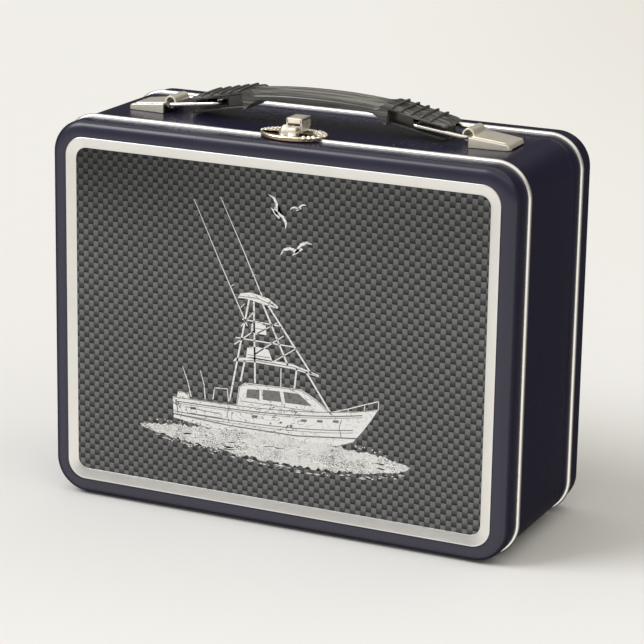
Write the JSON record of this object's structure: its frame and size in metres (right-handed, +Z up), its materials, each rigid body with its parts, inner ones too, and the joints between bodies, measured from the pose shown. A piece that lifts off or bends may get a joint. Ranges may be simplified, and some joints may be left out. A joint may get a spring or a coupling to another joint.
{
  "type": "fishing tackle box",
  "caption": "Rectangular sheet-metal carrying case with a bottom-hinged framed front lid, bright rim beads, ribbed folding handle and an ornate top latch.",
  "frame": {"origin": "centre of the case's footprint, at the plane the two rim beads stand on", "axes": "+X to the viewer's right along the long side, the framed lid faces -Y, +Z up"},
  "size_m": [0.2052, 0.0827, 0.1748],
  "materials": {
    "body_band": "satin enamel",
    "back_pan": "satin enamel",
    "front_lid": "satin enamel",
    "front_rim_bead": "bright",
    "rear_rim_bead": "bright",
    "panel_frame": "satin silver",
    "picture_plate": "printed, satin",
    "left_handle_bracket": "bright nickel",
    "right_handle_bracket": "bright nickel",
    "left_handle_link": "bright wire",
    "right_handle_link": "bright wire",
    "handle_grip": "moulded, semi-gloss",
    "latch_base_plate": "nickel, embossed",
    "latch_keeper_plate": "nickel, embossed",
    "latch_lever": "nickel",
    "latch_pivot_pin": "plain",
    "hinge_pin": "plain",
    "body_hinge_leaf": "plain",
    "lid_hinge_leaf": "plain"
  },
  "bodies": {
    "case": {"body_band": "body_band", "back_pan": "back_pan", "front_rim_bead": "front_rim_bead", "rear_rim_bead": "rear_rim_bead", "left_handle_bracket": "left_handle_bracket", "right_handle_bracket": "right_handle_bracket", "hinge_pin": "hinge_pin", "body_hinge_leaf": "body_hinge_leaf", "latch_base_plate": "latch_base_plate", "latch_pivot_pin": "latch_pivot_pin"},
    "lid": {"front_lid": "front_lid", "panel_frame": "panel_frame", "picture_plate": "picture_plate", "lid_hinge_leaf": "lid_hinge_leaf", "latch_keeper_plate": "latch_keeper_plate"},
    "lever": {"latch_lever": "latch_lever"},
    "grip": {"handle_grip": "handle_grip"},
    "left_link": {"left_handle_link": "left_handle_link"},
    "right_link": {"right_handle_link": "right_handle_link"}
  },
  "joints": [
    {"name": "lid_hinge", "type": "hinge", "parent": "case", "child": "lid", "pos_m": [0, -0.0284, 0.0012], "axis": [1, 0, 0], "range_deg": [0, 70]},
    {"name": "latch_pivot", "type": "hinge", "parent": "case", "child": "lever", "pos_m": [0.0005, -0.0202, 0.1648], "axis": [-1, 0, 0], "range_deg": [0, 75]},
    {"name": "handle_lift", "type": "slide", "parent": "case", "child": "grip", "axis": [0, 0, 1], "range_m": [0, 0.013]},
    {"name": "left_link_pivot", "type": "hinge", "parent": "case", "child": "left_link", "pos_m": [-0.0648, -0.0015, 0.1634], "axis": [0, -1, 0], "range_deg": [0, 38]},
    {"name": "right_link_pivot", "type": "hinge", "parent": "case", "child": "right_link", "pos_m": [0.0672, -0.0015, 0.1634], "axis": [0, 1, 0], "range_deg": [0, 38]}
  ],
  "couplings": [
    {"joint": "left_link_pivot", "follows": "handle_lift", "rad_per_m": 45},
    {"joint": "right_link_pivot", "follows": "handle_lift", "rad_per_m": 45}
  ]
}
